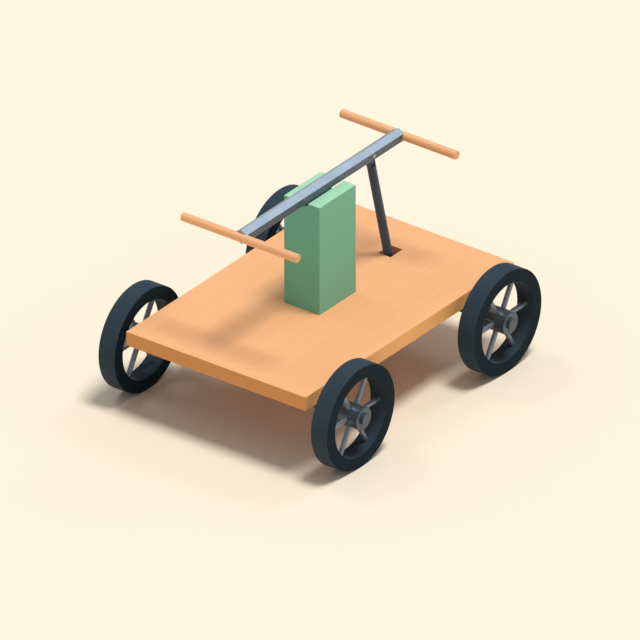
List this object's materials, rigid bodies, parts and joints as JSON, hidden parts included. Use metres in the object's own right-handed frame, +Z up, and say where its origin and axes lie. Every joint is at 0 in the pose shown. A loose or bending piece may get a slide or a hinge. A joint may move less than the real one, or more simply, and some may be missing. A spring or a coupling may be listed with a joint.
{
  "type": "railway handcar",
  "caption": "Four-wheeled rail handcar with a plank deck, a green tower, a rocking walking beam with cross handles, and a connecting rod to a cranked axle.",
  "frame": {"origin": "at rail level, under the middle of the car", "axes": "+X towards the drive end, +Y to the left side, +Z up"},
  "size_m": [2.018, 1.691, 1.2845],
  "materials": {
    "deck_timber": "painted smooth, orange tan",
    "sill_timber": "sawn, oiled",
    "tower_paint": "satin green paint",
    "beam_steel": "polished on the flats",
    "rod_steel": "dark blue-grey paint",
    "handle_wood": "turned and varnished",
    "pin_steel": "ground",
    "cast_iron": "dark painted casting",
    "rim_iron": "dark blue-black painted casting",
    "spoke_steel": "bright drawn bar",
    "axle_steel": "dark turned steel"
  },
  "bodies": {
    "chassis": {"deck": "deck_timber", "side_sill_left": "sill_timber", "side_sill_right": "sill_timber", "cross_sill_drive_end": "sill_timber", "cross_sill_tower": "sill_timber", "cross_sill_trailing_end": "sill_timber", "bearing_drive_left": "cast_iron", "bearing_drive_right": "cast_iron", "bearing_trailing_left": "cast_iron", "bearing_trailing_right": "cast_iron", "tower_cheek_left": "tower_paint", "tower_cheek_right": "tower_paint", "tower_core": "tower_paint", "beam_pivot_pin": "pin_steel"},
    "walking_beam": {"walking_beam": "beam_steel", "beam_pivot_lug": "beam_steel", "wrist_pin": "pin_steel", "handle_drive_end": "handle_wood", "handle_trailing_end": "handle_wood"},
    "connecting_rod": {"connecting_rod": "rod_steel", "crank_pin": "pin_steel"},
    "drive_wheelset": {"drive_axle_left": "axle_steel", "drive_axle_right": "axle_steel", "crank_disc_left": "cast_iron", "crank_disc_right": "cast_iron", "drive_rim_left": "rim_iron", "drive_hub_left": "cast_iron", "drive_spokes_left": "spoke_steel", "drive_rim_right": "rim_iron", "drive_hub_right": "cast_iron", "drive_spokes_right": "spoke_steel"},
    "trailing_wheelset": {"trailing_axle": "axle_steel", "trailing_rim_left": "rim_iron", "trailing_hub_left": "cast_iron", "trailing_spokes_left": "spoke_steel", "trailing_rim_right": "rim_iron", "trailing_hub_right": "cast_iron", "trailing_spokes_right": "spoke_steel"}
  },
  "joints": [
    {"name": "beam_rock", "type": "hinge", "parent": "chassis", "child": "walking_beam", "pos_m": [0, 0, 1.14], "axis": [0, -1, 0], "range_deg": [-19.5, 0]},
    {"name": "rod_swing", "type": "hinge", "parent": "walking_beam", "child": "connecting_rod", "pos_m": [0.461, 0, 1.24], "axis": [0, -1, 0], "range_deg": [0, 22.62]},
    {"name": "drive_wheels_roll", "type": "hinge", "parent": "chassis", "child": "drive_wheelset", "pos_m": [0.689, 0, 0.32], "axis": [0, 1, 0], "continuous": true},
    {"name": "trailing_wheels_roll", "type": "hinge", "parent": "chassis", "child": "trailing_wheelset", "pos_m": [-0.689, 0, 0.32], "axis": [0, 1, 0], "continuous": true}
  ],
  "couplings": [
    {"joint": "rod_swing", "follows": "beam_rock", "ratio": -1.16}
  ]
}
